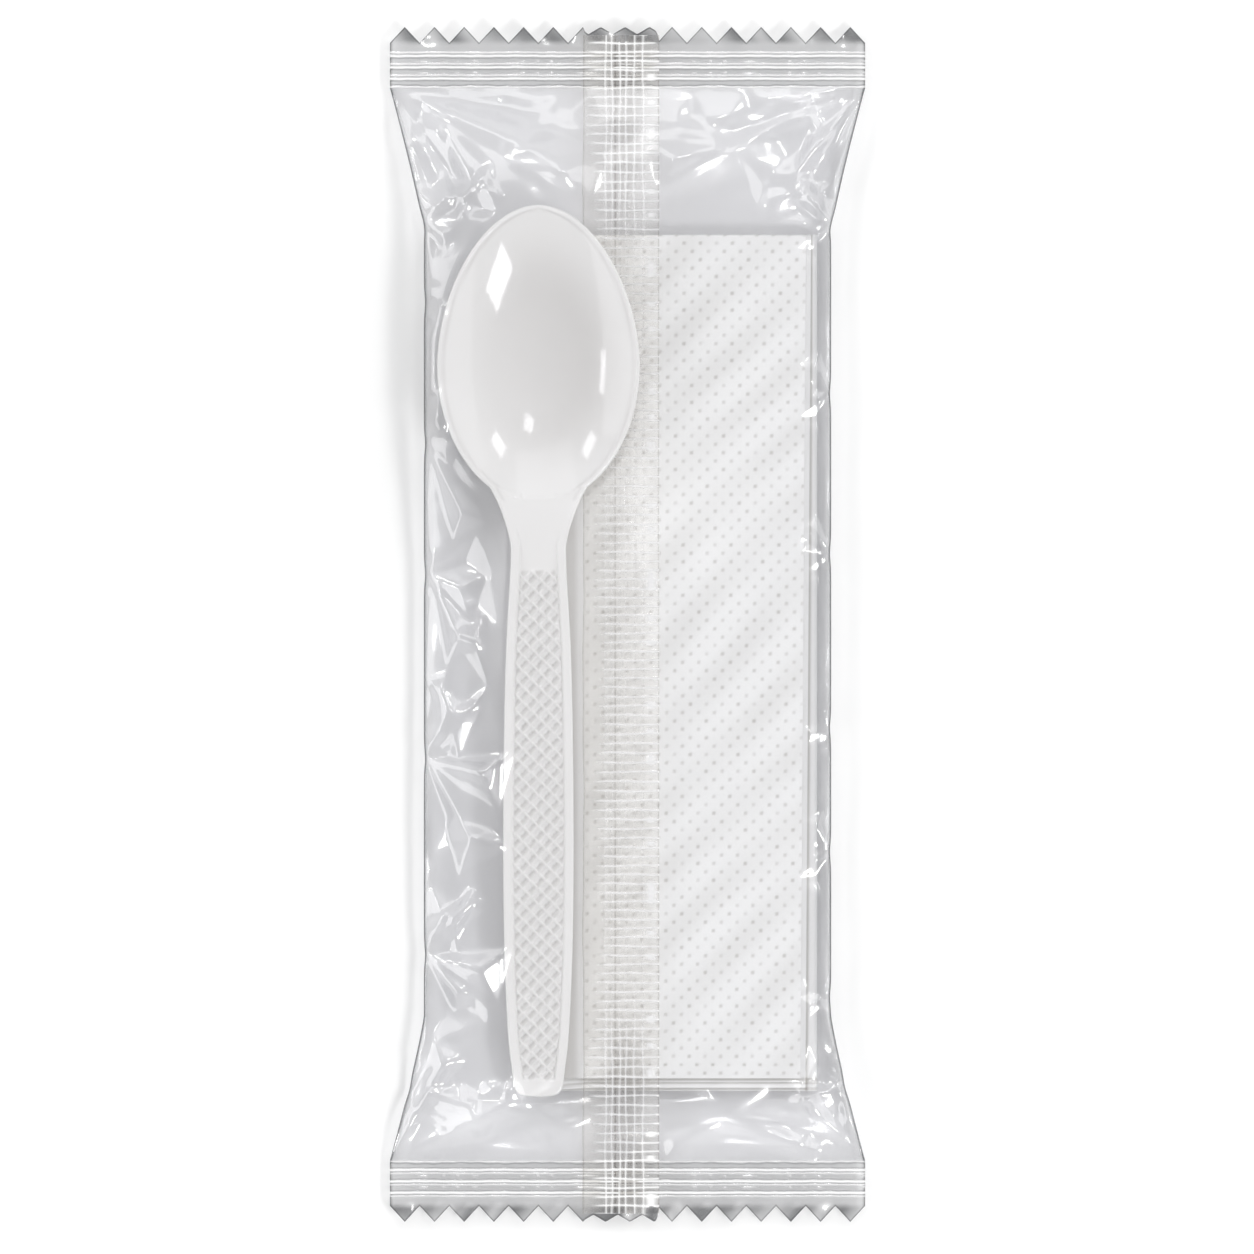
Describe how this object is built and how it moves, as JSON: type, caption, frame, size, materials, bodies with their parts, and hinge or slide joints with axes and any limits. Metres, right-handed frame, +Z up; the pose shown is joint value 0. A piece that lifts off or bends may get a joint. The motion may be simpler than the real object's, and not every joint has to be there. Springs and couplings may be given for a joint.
{
  "type": "sealed disposable cutlery pack",
  "caption": "Clear film flow-wrap pouch with crimped, serrated end seals and a long fin seal, holding a moulded plastic spoon and a folded embossed paper napkin.",
  "frame": {"origin": "the point of the table under the pack's centre, with the pack lying on its back film", "axes": "+Y along the pack towards the spoon's bowl, +X to the right seen from the front, +Z up out of the front film"},
  "size_m": [0.0918, 0.2306, 0.0136],
  "materials": {
    "film": "clear, glossy, wrinkled film, crimped white at its seals",
    "spoon_plastic": "opaque warm white, semi-gloss moulded, with a finely cross-hatched grip",
    "tissue": "matt white tissue with embossed dots"
  },
  "bodies": {
    "root": {"film_wrapper": "film", "spoon": "spoon_plastic", "napkin": "tissue"}
  },
  "joints": []
}
